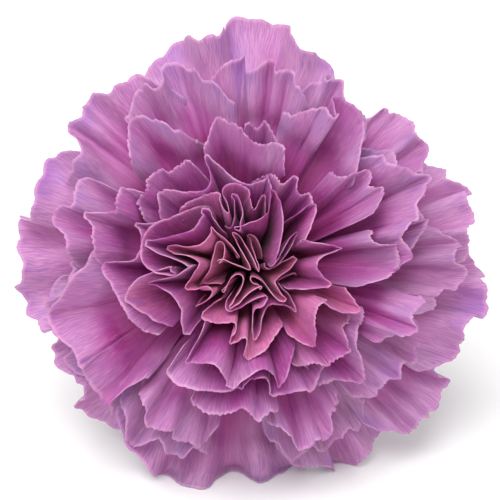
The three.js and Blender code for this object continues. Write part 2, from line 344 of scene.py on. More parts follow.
def uneven(random, places, pitch):
    """Irregular teeth: 0 in the notches, up to 1 at the tips, about pitch apart."""
    corners = np.arange(places.min() - 2 * pitch, places.max() + 3 * pitch, pitch / 2)
    corners = corners + random.uniform(-0.2, 0.2, len(corners)) * pitch
    tips = random.uniform(0.45, 1.0, len(corners))
    notches = random.uniform(0, 0.3, len(corners))
    curve = np.interp(places, corners, np.where(np.arange(len(corners)) % 2, tips, notches))
    return np.convolve(np.pad(curve, 1, mode="edge"), (0.25, 0.5, 0.25), mode="valid")


def petal_margin(random, petal, side, width):
    """How far the petal reaches at each place across, and the lobes and teeth on top of that, in mm."""
    inner = petal["whorl"] >= INNER_FROM
    lobe_depth, tooth_depth, tooth_pitch = INNER_MARGIN if inner else OUTER_MARGIN
    fan = 1 - 0.16 * np.abs(side) ** 3.2 - 0.02 * (1 + np.sin(3.1 * side + random.uniform(0, 6)))
    at = side * width / 2
    lobes = uneven(random, at, random.uniform(3.5, 5.5)) ** 0.6 * lobe_depth * random.uniform(0.7, 1.2)
    teeth = lobes + uneven(random, at, tooth_pitch) * tooth_depth
    teeth += 1.2 * uneven(random, at, 8.5) - 0.6
    longer = random.uniform(*(INNER_LONGER if inner else OUTER_LONGER))
    return FIRST + (petal["reach"] + longer - FIRST) * fan, teeth


print("teeth", OUTER_MARGIN[2], "mm apart on outer petals and", INNER_MARGIN[2], "mm on inner ones")

# %% [markdown]
# ### The sheet
# A petal is thickest at its claw and thins towards the margin. Fine pleats run out from the foot, and the
# margin rolls back a little, more on some petals than on others. Each point keeps its place on the petal,
# across and from foot to margin, so that the veins can follow the petal later however it is folded.

# %% Petal surfaces
COLUMNS, ROWS = 144, 40
CLAW_ROWS = 4
CLAW_FOOT = 0.75  # mm, half the claw's width at its foot
THICKNESS, MARGIN_THICKNESS = 0.28, 0.12  # mm
PLEAT, PLEATS = 0.035, (8, 13)  # mm deep, and how many run side by side
ROLLED = [0.5, 0.5, 0.5, 1.0, 1.0, 1.0, 1.0, 1.0, 0.4, 0.4]  # how much of the roll each whorl takes


def through(values, at):
    """A smooth curve through values (first axis), read at fractional places."""
    last = len(values) - 1
    at = np.clip(at, 0, last)
    i = np.minimum(at.astype(int), last - 1)
    f = (at - i)[(...,) + (None,) * (values.ndim - 1)]
    a, b = values[np.maximum(i - 1, 0)], values[i]
    c, d = values[i + 1], values[np.minimum(i + 2, last)]
    return b + 0.5 * f * (c - a + f * (2 * a - 5 * b + 4 * c - d + f * (3 * (b - c) + d - a)))


def relief(random, petal, side, depth):
    """How far each point stands off the smooth sheet, in mm: pleats, and the rolled margin."""
    pleats = 0
    for count in PLEATS:
        height = random.uniform(0.4, 1)
        shift = random.uniform(0, 6.3)
        pleats = pleats + height * np.sin(pi * count * side + shift + random.uniform(-0.6, 0.6) * depth)
    roll = random.uniform(0.3, 1.2)
    waves = random.uniform(3, 6)
    rolled = roll * (0.6 + 0.4 * np.sin(waves * side + random.uniform(0, 6.3)))
    rolled = rolled * smoothstep(depth, 0.72, 1.05) ** 1.5 * ROLLED[petal["whorl"]]
    return PLEAT * pleats * smoothstep(depth, 0.15, 1.0) + rolled


def petal_sheet(petal, lines, number):
    """Points, normals and thickness of one petal, and where each row and column lies on it."""
    random = np.random.default_rng(100 + number)
    side = np.linspace(-1, 1, COLUMNS + 1)
    smooth = lines.copy()
    for _ in range(2):
        smooth[1:-1] = 0.25 * smooth[:-2] + 0.5 * smooth[1:-1] + 0.25 * smooth[2:]
    wide = through(smooth.transpose(1, 0, 2), (side + 1) / 2 * (ACROSS - 1)).transpose(1, 0, 2)
    width = np.linalg.norm(np.diff(wide[-8], axis=0), axis=1).sum() * petal["reach"]
    margin, teeth = petal_margin(random, petal, side, width)
    row = np.linspace(0, 1, ROWS + 1) ** 0.85
    distance = FIRST + row[:, None] * (margin - FIRST) + teeth * smoothstep(row, 0.86, 1.0)[:, None]
    at = (distance - FIRST) / (LAST - FIRST) * (SLICES - 1)
    blade = np.stack([through(wide[:, c], at[:, c]) for c in range(COLUMNS + 1)], 1)
    blade = CENTRE + distance[..., None] * unit(blade)
    tangent = np.array([-sin(petal["around"]), cos(petal["around"]), 0])
    claw = petal["claw"] + side[:, None] * tangent * CLAW_FOOT
    rise = np.linspace(0, 1, CLAW_ROWS + 1)[:-1, None, None]
    points = np.concatenate([claw + rise * (blade[0] - claw), blade])
    normal = unit(np.cross(np.gradient(points, axis=1), np.gradient(points, axis=0)))
    depth = np.concatenate([np.zeros(CLAW_ROWS), row])[:, None]
    points = points + normal * relief(random, petal, side, depth)[..., None]
    thick = (THICKNESS + (MARGIN_THICKNESS - THICKNESS) * smoothstep(depth, 0.2, 1.0))[..., None]
    map_v = np.concatenate([np.linspace(-0.3, 0, CLAW_ROWS + 1)[:-1], row])
    return points, normal, thick, (side + 1) / 2, map_v


print("each petal has", COLUMNS, "by", ROWS + CLAW_ROWS, "faces on each side")

# %% [markdown]
# ### The petals' meshes
# The sheet gets an upper and an under side, half its thickness to either side of its middle, and a rim
# that joins them. Solidify would do that as well, but it can't thin the sheet towards its margin without
# a vertex group and loses its way in the tightest folds. The two guard petals that the flower rests on
# would dip into the table, so their points are eased up onto it first.

# %% Make the petals
TABLE = 0.00002  # metres above zero that nothing goes below


def press_on_table(points):
    """Points in the common frame that dip below the table are eased up onto it."""
    softness, lift = 0.0004, 0.0002
    height = (points[..., 2] - lift) / softness
    eased = softness * np.log1p(np.exp(np.minimum(height, 40)))
    points = points.copy()
    points[..., 2] = lift + np.where(height > 30, points[..., 2] - lift, eased)
    return points


def sheet_faces(rows, columns):
    """Faces of a sheet: its under side, its upper side and the four strips of its rim."""
    under = np.arange(rows * columns).reshape(rows, columns)
    upper = under + rows * columns
    quads = [
        np.stack([under[:-1, :-1], under[1:, :-1], under[1:, 1:], under[:-1, 1:]], -1).reshape(-1, 4),
        np.stack([upper[:-1, :-1], upper[:-1, 1:], upper[1:, 1:], upper[1:, :-1]], -1).reshape(-1, 4),
        np.stack([under[0, :-1], under[0, 1:], upper[0, 1:], upper[0, :-1]], -1),
        np.stack([under[-1, :-1], upper[-1, :-1], upper[-1, 1:], under[-1, 1:]], -1),
        np.stack([under[:-1, 0], upper[:-1, 0], upper[1:, 0], under[1:, 0]], -1),
        np.stack([under[:-1, -1], under[1:, -1], upper[1:, -1], upper[:-1, -1]], -1),
    ]
    return np.concatenate(quads)


def remember(mesh, name, values):
    """Keep a number for each point, which the petals' finish reads."""
    mesh.attributes.new(name, "FLOAT", "POINT").data.foreach_set("value", values)


def make_petal(petal, lines, number):
    points, normal, thick, map_u, map_v = petal_sheet(petal, lines, number)
    rows, columns = points.shape[:2]
    middle = press_on_table(to_common(points))
    offset = (normal * thick / 2 * MM) @ turn
    corners = np.concatenate([(middle + offset).reshape(-1, 3), (middle - offset).reshape(-1, 3)])
    corners[:, 2] = np.maximum(corners[:, 2], TABLE)
    mesh = bpy.data.meshes.new(petal["name"] + "_ruffled")
    mesh.from_pydata(corners.tolist(), [], sheet_faces(rows, columns).tolist())
    mesh.polygons.foreach_set("use_smooth", [True] * len(mesh.polygons))
    veins = mesh.uv_layers.new(name="veins")
    loops = np.empty(len(mesh.loops), int)
    mesh.loops.foreach_get("vertex_index", loops)
    loops %= rows * columns
    veins.data.foreach_set("uv", np.stack([map_u[loops % columns], map_v[loops // columns]], -1).ravel())
    remember(mesh, "whorl", [petal["whorl"] / (len(WHORLS) - 1)] * len(mesh.vertices))
    remember(mesh, "upper", [0.0] * (rows * columns) + [1.0] * (rows * columns))
    remember(mesh, "own", [(number * 0.618) % 1] * len(mesh.vertices))
    piece = bpy.data.objects.new(petal["name"] + "_ruffled", mesh)
    bpy.context.scene.collection.objects.link(piece)
    return piece


ruffled = []
for number, petal in enumerate(petals):
    piece = make_petal(petal, grown[number], number)
    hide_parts(petal["name"])
    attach(piece, "root")
    "heart_petal" if petal["whorl"] > 6 else "petal"
    ruffled.append(piece)
print(len(ruffled), "ruffled petals,", sum(len(piece.data.polygons) for piece in ruffled), "faces")

# %% [markdown]
# ## The green parts
# Calyx, bracts, stem and pistil are round about the flower's axis or follow it, so they are modelled
# standing upright in the flower's own frame and then turned into place, mesh and all. One helper draws up
# a round wall: it starts from a circle, and each step extrudes the rim and scales it, as one does by hand
# with E and S.

# %% Drawing up a round wall
STANDING = Matrix.Translation(foot) @ Matrix(turn.T.tolist()).to_4x4()


def object_mode():
    if bpy.context.object and bpy.context.object.mode != "OBJECT":
        bpy.ops.object.mode_set(mode="OBJECT")


def deselect_objects():
    object_mode()
    bpy.ops.object.select_all(action="DESELECT")


def draw_up(name, rings, sides):
    """A wall through rings of (x, y, height, radius) in mm, open at both ends."""
    deselect_objects()
    x, y, height, radius = (value * MM for value in rings[0])
    bpy.ops.mesh.primitive_circle_add(vertices=sides, radius=radius, location=(0, 0, 0))
    piece = bpy.context.object
    piece.name = piece.data.name = name
    bpy.ops.object.mode_set(mode="EDIT")
    bpy.ops.mesh.select_all(action="SELECT")
    bpy.ops.transform.translate(value=(x, y, height))
    for ring in rings[1:]:
        nx, ny, next_height, next_radius = (value * MM for value in ring)
        step = (nx - x, ny - y, next_height - height)
        bpy.ops.mesh.extrude_region_move(TRANSFORM_OT_translate={"value": step})
        grow_by = next_radius / radius
        bpy.ops.transform.resize(value=(grow_by, grow_by, 1), center_override=(nx, ny, next_height))
        x, y, height, radius = nx, ny, next_height, next_radius
    bpy.ops.object.mode_set(mode="OBJECT")
    return piece


def points_of(piece):
    points = np.empty(len(piece.data.vertices) * 3)
    piece.data.vertices.foreach_get("co", points)
    return points.reshape(-1, 3) / MM


def select_points(piece, wanted):
    """Back to edit mode with just these points selected."""
    object_mode()
    bpy.ops.object.mode_set(mode="EDIT")
    bpy.ops.mesh.select_mode(type="VERT")
    bpy.ops.mesh.select_all(action="DESELECT")
    bpy.ops.object.mode_set(mode="OBJECT")
    piece.data.vertices.foreach_set("select", wanted.tolist())
    bpy.ops.object.mode_set(mode="EDIT")


def stand_in_place(piece, node):
    """Keep each point's upright place for the finish, and turn the mesh into the flower's place."""
    object_mode()
    upright = piece.data.attributes.new("upright", "FLOAT_VECTOR", "POINT")
    upright.data.foreach_set("vector", points_of(piece).ravel())
    piece.data.transform(STANDING)
    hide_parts(node)
    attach(piece, "root")
    return piece


def apply_modifier(piece, kind, **settings):
    bpy.ops.object.mode_set(mode="OBJECT")
    modifier = piece.modifiers.new(kind.lower(), kind)
    for key, value in settings.items():
        setattr(modifier, key, value)
    bpy.ops.object.modifier_apply(modifier=modifier.name)


# %% [markdown]
# ## Calyx
# Five sepals, grown together into a tube as long as the last joint of a thumb, split into five teeth at
# the top. The tube swells quickly from its foot to the width that the petals' claws need. We draw up its
# outside wall, pull the rim down between the teeth, press a shallow furrow along each of the five seams,
# and give the sheet its thickness inwards with Solidify, so the outside stays where it was measured.

# %% Draw up the calyx
calyx_flower = to_flower(calyx_points)
calyx_out = np.hypot(calyx_flower[:, 0], calyx_flower[:, 1])
calyx_width = calyx_out.max()
foot_radius = calyx_out[calyx_flower[:, 2] < 0.1].max()
tooth_tip = calyx_flower[:, 2].max()
TEETH = 5
TOOTH = 4.5  # mm, from notch to tip
SEPAL = 0.6  # mm, how thick the calyx is
SIDES = 60
FURROW = 0.97  # scale of the wall along a seam

swollen = 7.0  # mm above the foot, where the calyx reaches its full width
rings = [(0, 0, 0.25, 2.35), (0, 0, 0.0, 2.6)]
rings += [(0, 0, 0.0, foot_radius * 0.85), (0, 0, 0.2, foot_radius * 0.98)]
for rise in (0.12, 0.25, 0.42, 0.6, 0.8, 1.0):
    rings.append((0, 0, rise * swollen, foot_radius + (calyx_width - foot_radius) * sin(rise * pi / 2)))
for rise in (0.2, 0.4, 0.6, 0.8, 1.0):
    rings.append((0, 0, swollen + rise * (tooth_tip - TOOTH * 1.4 - swollen), calyx_width))
for below_tip in (0.95, 0.5, 0.0):
    rings.append((0, 0, tooth_tip - TOOTH * below_tip, calyx_width))
calyx_profile = rings[2:]
calyx = draw_up("calyx_cup", rings, SIDES)
print("calyx wall of", len(calyx.data.polygons), "faces")

# %% [markdown]
# ### Teeth and seams
# Pulling the rim down between the teeth with the move tool, less and less for the rows below it, gives
# five pointed teeth without a cut. The seams between the sepals are the columns under the notches, scaled
# inwards.

# %% Pull down the notches and press in the seams
tip_points = calyx_flower[calyx_flower[:, 2] > tooth_tip - 0.2]
first_tip = np.arctan2(tip_points[0, 1], tip_points[0, 0])
tooth_turn = 2 * pi / TEETH


def from_tip(points):
    """0 at the tip of the nearest tooth, 1 in the notch."""
    angle = (np.arctan2(points[:, 1], points[:, 0]) - first_tip) % tooth_turn
    return np.minimum(angle, tooth_turn - angle) / (tooth_turn / 2)


points = points_of(calyx)
for step in np.unique(from_tip(points).round(3))[1:]:
    for below_tip, share in ((0.0, 1.0), (0.5, 0.6), (0.95, 0.3)):
        row = np.abs(points[:, 2] - (tooth_tip - TOOTH * below_tip)) < 0.05
        select_points(calyx, (np.abs(from_tip(points) - step) < 0.01) & row)
        bpy.ops.transform.translate(value=(0, 0, -TOOTH * share * step**0.8 * MM))
select_points(calyx, (from_tip(points) > 0.95) & (points[:, 2] > 1.5))
bpy.ops.transform.resize(value=(FURROW, FURROW, 1), center_override=(0, 0, 0))
bpy.ops.mesh.select_all(action="SELECT")
bpy.ops.mesh.normals_make_consistent(inside=False)
apply_modifier(calyx, "SOLIDIFY", thickness=SEPAL * MM, offset=-1.0, use_even_offset=True)
apply_modifier(calyx, "SUBSURF", levels=1, render_levels=1)
bpy.ops.object.shade_smooth()
print("calyx", calyx_width.round(2), "mm in radius,", len(calyx.data.polygons), "faces")

# %% [markdown]
# ## Bracts
# Two pairs of short pointed scales clasp the foot of the calyx. Each is modelled as a flat leaf that is
# narrowed row by row to a point. It has to hug the calyx, whose width changes with height, so the flat
# leaf is then wrapped round it in code: across becomes an angle, and the calyx's own outline gives the
# radius. A shrinkwrap leaves such a thin scale standing off at its sides. The plain scales tell where
# each one belongs.

# %% Model the bracts
BRACT = 0.45  # mm thick
BRACT_ROWS = 16
BESIDE_CALYX, BESIDE_BRACT = 0.3, 0.85  # mm from a scale's middle to the calyx, inner and outer pair
LONG_BRACT = 8  # mm; the inner pair is longer than this


def lay_on_calyx(leaf, middle, low, half_angle, stand_off):
    """Wrap a flat leaf, 2 mm wide and as long as it will be, round the calyx at its middle direction."""
    flat = points_of(leaf)
    up = flat[:, 1] - flat[:, 1].min()
    height = low + up
    angle = middle + flat[:, 0] * half_angle
    wall = np.interp(height, [ring[2] for ring in calyx_profile], [ring[3] for ring in calyx_profile])
    radius = wall + stand_off + 0.5 * (up / up.max()) ** 4
    laid = np.stack([radius * np.cos(angle), radius * np.sin(angle), height], -1)
    leaf.data.vertices.foreach_set("co", (laid * MM).ravel())


def model_bract(node_name):
    plain = to_flower(node_points(node_name))
    low, high = plain[:, 2].min(), plain[:, 2].max()
    angles = np.arctan2(plain[:, 1], plain[:, 0])
    middle = np.angle(np.exp(1j * angles).mean())
    half_angle = np.abs(np.angle(np.exp(1j * (angles - middle)))).max()
    deselect_objects()
    bpy.ops.mesh.primitive_grid_add(x_subdivisions=16, y_subdivisions=BRACT_ROWS, size=1)
    leaf = bpy.context.object
    leaf.name = leaf.data.name = node_name + "_scale"
    bpy.ops.object.mode_set(mode="EDIT")
    bpy.ops.transform.resize(value=(2 * MM, (high - low) * MM, 1))
    bpy.ops.object.mode_set(mode="OBJECT")
    flat = points_of(leaf)
    for row in np.unique(flat[:, 1].round(3)):
        up = (row - flat[:, 1].min()) / (high - low)
        narrow = max(0.02, (1 - up**1.7) * (0.92 + 0.35 * up))
        select_points(leaf, np.abs(flat[:, 1] - row) < 0.01)
        bpy.ops.transform.resize(value=(narrow, 1, 1), center_override=(0, 0, 0))
    bpy.ops.object.mode_set(mode="OBJECT")
    lay_on_calyx(leaf, middle, low, half_angle, BESIDE_CALYX if high - low > LONG_BRACT else BESIDE_BRACT)
    bpy.ops.object.mode_set(mode="EDIT")
    bpy.ops.mesh.select_all(action="SELECT")
    bpy.ops.mesh.normals_make_consistent(inside=False)
    apply_modifier(leaf, "SOLIDIFY", thickness=BRACT * MM, offset=0.0)
    apply_modifier(leaf, "SUBSURF", levels=1, render_levels=1)
    bpy.ops.object.shade_smooth()
    return leaf


bract_nodes = sorted(name for name in frame["nodes"] if name.startswith("bract_"))
scales = [model_bract(name) for name in bract_nodes]
print(len(scales), "bracts of", [len(s.data.polygons) for s in scales], "faces")

# %% [markdown]
# ## Stem
# A short, slightly bowed stalk with a swollen joint under the calyx, cut off at a slant with a knife.
# Inside the calyx it carries the receptacle that the petals stand on. We draw it up along its middle line
# a little too long and cut it with Bisect where the plain stem ends. The cut face is inset twice, for a
# skin and the pith, and the soft pith sinks in a little as it dries.

# %% Model the stem
stem_plain = to_flower(node_points("stem"))
stem_top = stem_plain[:, 2].max()
cut_points = stem_plain[stem_plain[:, 2] < stem_plain[:, 2].min() + 2.2]
cut_middle = cut_points.mean(0)
cut_normal = np.linalg.eigh((cut_points - cut_middle).T @ (cut_points - cut_middle))[1][:, 0]
cut_normal *= np.sign(cut_normal[2])
STEM_RADIUS = 2.1  # mm
SKIN, PITH, SUNK = 0.0003, 0.0009, 0.00025  # metres: first and second inset, and how far the pith sinks
bow = cut_middle[0]
stem_length = -stem_plain[:, 2].min()
# share of the length below the calyx, share of the radius
STALK = [(1.06, 1.0), (0.96, 1.0), (0.86, 1.0), (0.76, 1.01), (0.66, 0.99), (0.56, 1.0), (0.46, 1.01)]
STALK += [(0.36, 1.0), (0.26, 1.0), (0.18, 1.02), (0.12, 1.06)]
# height in mm, share of the radius
JOINT = [(-3.4, 1.12), (-2.7, 1.24), (-2.0, 1.29), (-1.3, 1.28), (-0.7, 1.26), (-0.3, 1.2), (-0.1, 1.0)]
JOINT += [(1.4, 1.0)]
# height and radius in mm
RECEPTACLE = [(1.7, 2.9), (2.4, 3.5), (4.4, 3.6), (stem_top - 0.5, 3.55), (stem_top, 3.0)]


def stem_ring(height, radius):
    return (bow * max(0.0, -height / stem_length) ** 2, 0, height, radius)


rings = [stem_ring(-stem_length * part, STEM_RADIUS * width) for part, width in STALK]
rings += [stem_ring(height, STEM_RADIUS * width) for height, width in JOINT]
rings += [(0, 0, height, radius) for height, radius in RECEPTACLE]
stem = draw_up("stem_stalk", rings, 40)
bpy.ops.object.mode_set(mode="EDIT")
bpy.ops.mesh.edge_face_add()
bpy.ops.mesh.select_all(action="SELECT")
knife = {"plane_co": tuple(cut_middle * MM), "plane_no": tuple(-cut_normal)}
bpy.ops.mesh.bisect(**knife, use_fill=True, clear_outer=True, threshold=1e-7)
bpy.ops.mesh.inset(thickness=SKIN, depth=0.0)
bpy.ops.mesh.inset(thickness=PITH, depth=0.0)
bpy.ops.transform.translate(value=tuple(cut_normal * SUNK))
bpy.ops.mesh.select_all(action="SELECT")
bpy.ops.mesh.normals_make_consistent(inside=False)
apply_modifier(stem, "BEVEL", width=0.00012, segments=2, limit_method="ANGLE", angle_limit=radians(50))
bpy.ops.object.shade_smooth_by_angle(angle=radians(50))
print("stem", round(stem_length, 1), "mm below the calyx,", len(stem.data.polygons), "faces")

# %% [markdown]
# ## Pistil
# The ovary stands in the middle of the claws and carries two thin styles that curl apart at their tips.
# It is hidden, and yet a petal that is plucked would show it. The ovary is drawn up like the calyx and
# closed, each style is a thin wall drawn up along a bent line and closed, and Join makes the three one
# piece.

# %% Model the pistil
pistil_plain = to_flower(node_points("pistil"))
pistil_low, pistil_high = pistil_plain[:, 2].min(), pistil_plain[:, 2].max()
OVARY, OVARY_RADIUS, STYLE_RADIUS = 9.0, 1.6, 0.35
rings = [(0, 0, pistil_low, 0.5), (0, 0, pistil_low + 0.05, 0.9)]
for rise in np.linspace(0.08, 0.98, 14):
    rings.append((0, 0, pistil_low + rise * OVARY, OVARY_RADIUS * sin(pi * (0.25 + 0.75 * rise)) ** 0.7))
pistil = draw_up("pistil_ovary", rings, 28)
bpy.ops.object.mode_set(mode="EDIT")
bpy.ops.mesh.edge_face_add()
select_points(pistil, points_of(pistil)[:, 2] < pistil_low + 0.01)
bpy.ops.mesh.edge_face_add()
bpy.ops.object.mode_set(mode="OBJECT")
styles = []
for way in (-1, 1):
    start = pistil_low + OVARY * 0.8
    rings = []
    for rise in np.linspace(0, 1, 16):
        curl = (way * (0.35 + 0.9 * rise**2), way * 0.8 * rise**3)
        rings.append((*curl, start + rise * (pistil_high - start), STYLE_RADIUS * (1 - 0.55 * rise**2)))
    style = draw_up("style", rings, 12)
    bpy.ops.object.mode_set(mode="EDIT")
    bpy.ops.mesh.edge_face_add()
    select_points(style, points_of(style)[:, 2] < start + 0.01)
    bpy.ops.mesh.edge_face_add()
    bpy.ops.object.mode_set(mode="OBJECT")
    styles.append(style)
deselect_objects()
for part in (*styles, pistil):
    part.select_set(True)
bpy.context.view_layer.objects.active = pistil
bpy.ops.object.join()
bpy.ops.object.mode_set(mode="EDIT")
bpy.ops.mesh.select_all(action="SELECT")
bpy.ops.mesh.normals_make_consistent(inside=False)
bpy.ops.object.mode_set(mode="OBJECT")
bpy.ops.object.shade_smooth()
print("pistil", round(pistil_high - pistil_low, 1), "mm high,", len(pistil.data.polygons), "faces")

# %% [markdown]
# ## Into the lying flower
# The pieces are finished, so each upright mesh is turned into the flower's place and takes over from its
# plain solid.

# %% Turn the green parts into place
stand_in_place(calyx, "calyx")
for scale, name in zip(scales, bract_nodes):
    stand_in_place(scale, name)
stand_in_place(stem, "stem")
stand_in_place(pistil, "pistil")
print("turned into place:", 3 + len(scales), "green pieces")

# %% [markdown]
# ## Finishes
# The petals and the green parts have patterns that follow their own growth, so their colours are built
# from noise and a few measures kept on the meshes. Shader maths is easier to read as expressions, so a
# small class lets Python's operators add Math nodes, and one method adds every other node.

# %% Shader maths as expressions


class Value:
    """One output of a node. Operators on it add Math nodes."""

    def __init__(self, finish, socket):
        self.finish, self.socket = finish, socket

    def maths(self, operation, a, b=0.0):
        return self.finish.node("ShaderNodeMath", {"operation": operation}, {0: a, 1: b})

    def __add__(self, other):
        return self.maths("ADD", self, other)

    def __sub__(self, other):
        return self.maths("SUBTRACT", self, other)

    def __rsub__(self, other):
        return self.maths("SUBTRACT", other, self)

    def __mul__(self, other):
        return self.maths("MULTIPLY", self, other)

    __radd__, __rmul__ = __add__, __mul__


class Finish:
    """A material, and ways to add its nodes."""

    def __init__(self, name):
        self.material = bpy.data.materials.new(name)
        self.material.use_nodes = True
        self.tree = self.material.node_tree
        self.surface = self.tree.nodes["Principled BSDF"]

    def node(self, kind, settings=None, sockets=None, out=0):
        node = self.tree.nodes.new(kind)
        for key, setting in (settings or {}).items():
            if key == "stops":
                ramp = node.color_ramp
                while len(ramp.elements) < len(setting):
                    ramp.elements.new(1.0)
                for stop, (place, colour) in zip(ramp.elements, setting):
                    stop.position, stop.color = place, colour
            else:
                setattr(node, key, setting)
        for key, value in (sockets or {}).items():
            self.set(node.inputs[key], value)
        return Value(self, node.outputs[out])

    def set(self, socket, value):
        if isinstance(value, Value):
            self.tree.links.new(value.socket, socket)
        else:
            socket.default_value = value

    def between(self, value, low, high):
        """0 below low, 1 above high, smooth between."""
        settings = {"interpolation_type": "SMOOTHSTEP"}
        return self.node("ShaderNodeMapRange", settings, {"Value": value, "From Min": low, "From Max": high})

    def mix(self, share, first, second):
        """A colour between two colours."""
        return self.node("ShaderNodeMix", {"data_type": "RGBA"}, {0: share, 6: first, 7: second}, out=2)

    def noise(self, across, along, third, detail):
        """A cloudy pattern, read at a place made of three values."""
        place = self.node("ShaderNodeCombineXYZ", {}, {0: across, 1: along, 2: third})
        return self.node("ShaderNodeTexNoise", {}, {"Vector": place, "Scale": 1.0, "Detail": detail})

    def finish(self, **inputs):
        """Set or link the shader's own inputs."""
        for key, value in inputs.items():
            self.set(self.surface.inputs[key.replace("_", " ")], value)


def colour(red, green, blue):
    """A colour given as on a screen, 0 to 255, made linear."""
    linear = [((c / 255 + 0.055) / 1.055) ** 2.4 if c > 10 else c / 255 / 12.92 for c in (red, green, blue)]
    return (*linear, 1.0)


print("ready to mix finishes")

# %% [markdown]
# ## Petal finish
# A petal is deepest in colour at its foot and palest at its margin, and the outer petals are paler than
# the inner ones. The inner petals are painted darker: partly their own deeper colour, partly painted shade
# of the flower's deep middle. Around the heart some petals are a dusty rose.
# We start from what each point knows about itself, and from noises that are drawn out along the petal, as
# its veins are.

# %% What each point of a petal knows
PLUM, DEEP = colour(98, 4, 66), colour(134, 14, 96)
MAUVE, LILAC = colour(156, 54, 132), colour(190, 138, 178)
PALE, CLAW = colour(214, 172, 206), colour(196, 202, 166)
LAVENDER, VIOLET, RIM = colour(118, 78, 150), colour(132, 92, 168), colour(206, 148, 182)
ROSE_DEEP, ROSE = colour(164, 44, 100), colour(216, 116, 154)

petal_finish = Finish("petal")
mix, between, noise = petal_finish.mix, petal_finish.between, petal_finish.noise
uv = petal_finish.node("ShaderNodeUVMap", {"uv_map": "veins"})
u, v = (petal_finish.node("ShaderNodeSeparateXYZ", {}, {0: uv}, out=n) for n in range(2))
whorl = petal_finish.node("ShaderNodeAttribute", {"attribute_name": "whorl"}, out=2)
own = petal_finish.node("ShaderNodeAttribute", {"attribute_name": "own"}, out=2)
upper = petal_finish.node("ShaderNodeAttribute", {"attribute_name": "upper"}, out=2)
patches = noise(u * 3.5 + own * 20, v * 2.0, own * 13, 2.0)
wander = noise(u * 9 + own * 50, v * 5, own * 3, 2.0)
fan = u + (wander - 0.5) * 0.05
veins = noise(fan * 80 + own * 40, v * 5, own * 9, 3.0)
fine_veins = noise(fan * 240, v * 16 + own * 30, own * 5, 2.0)
margin_wave = noise(u * 14 + own * 60, own * 7, 0.0, 2.0)
print("petal patterns with", len(petal_finish.tree.nodes), "nodes")

# %% [markdown]
# ### The ground colour
# One value runs from the dark foot to the pale margin. It is shifted by soft patches and by the whorl,
# which paints the inner petals darker: partly their own deeper colour, partly painted shade of the deep
# middle. Three mixes in a row turn it into plum, mauve and lilac. The claw is a pale green, the under side
# is lighter towards the foot, and the rose comes in where the whorl and the petal's own number say so.

# %% Ground colour
tone_and_painted_shade = v + (patches - 0.5) * 0.7
# the whorl term paints the inner petals darker: partly their own deeper colour, partly painted shade of the
# deep middle
tone_and_painted_shade = tone_and_painted_shade * (1 + whorl * 0.5) + 0.16 - whorl * 0.95
ground = mix(between(tone_and_painted_shade, 0.0, 0.5), PLUM, DEEP)
ground = mix(between(tone_and_painted_shade, 0.32, 0.85), ground, MAUVE)
ground = mix(between(tone_and_painted_shade, 0.65, 1.15), ground, LILAC)
ground = mix((1 - upper) * between(v, 0.9, 0.2) * 0.35, ground, LILAC)
ground = mix(between(v + (margin_wave - 0.5) * 0.1, 0.16, -0.05), ground, CLAW)
rosy = between(whorl + (own - 0.5) * 0.5 + (patches - 0.5) * 0.6, 0.62, 1.0)
ground = mix(rosy * 0.7, ground, mix(between(v, 0.35, 0.9), ROSE_DEEP, ROSE))
print("ground colour with", len(petal_finish.tree.nodes), "nodes")

# %% [markdown]
# ### Veins, dusk and rim
# Dark and pale veins, lavender streaks towards the margin, a violet dusk on patches of the outer petals,
# and a pale rim that comes and goes. The veins also raise the surface very slightly. A little light
# scatters inside the petals, which keeps the deep folds warm.

# %% Veins and margin
ground = mix(between(veins, 0.46, 0.66) * 0.14, ground, DEEP)
ground = mix(between(0.5 - veins, 0.0, 0.16) * 0.10, ground, LILAC)
streaks = between(fine_veins, 0.46, 0.60) * between(v + (margin_wave - 0.5) * 0.6, 0.55, 0.95)
ground = mix(streaks * 0.45 * (1 - between(whorl, 0.75, 1.0) * 0.6), ground, LAVENDER)
ground = mix(between(fine_veins, 0.44, 0.34) * between(v, 0.5, 0.95) * 0.2, ground, PALE)
dusk = between(v + (patches - 0.5) * 1.1 + (margin_wave - 0.5) * 0.4, 0.9, 1.2)
ground = mix(dusk * 0.55 * between(whorl, 0.6, 0.2), ground, VIOLET)
rim = between(v, 0.97, 1.0) * between(margin_wave + (patches - 0.5) * 0.4, 0.36, 0.62)
ground = mix(rim * 0.55, ground, RIM)
ridges = {"Strength": 0.2, "Distance": 0.0002, "Height": veins + fine_veins * 0.4}
raised = petal_finish.node("ShaderNodeBump", {}, ridges)
petal_finish.finish(Base_Color=ground, Roughness=0.62, Normal=raised)
petal_finish.finish(Subsurface_Weight=0.3, Subsurface_Radius=(1.0, 0.45, 0.8), Subsurface_Scale=0.001)
petal_finish.finish(Sheen_Weight=0.08)
for piece in ruffled:
    piece.data.materials.append(petal_finish.material)
print("petal finish with", len(petal_finish.tree.nodes), "nodes")

# %% [markdown]
# ## Green finishes
# Calyx, bracts and stem are covered with a thin blue-grey wax that rubs off in places, over a fresh green
# with fine ribs along the length. Each point remembers its place in the upright flower, in millimetres,
# so a noise that is drawn out along the height gives ribs, and the height itself gives the yellowed teeth
# and the paler foot.

# %% Green finish


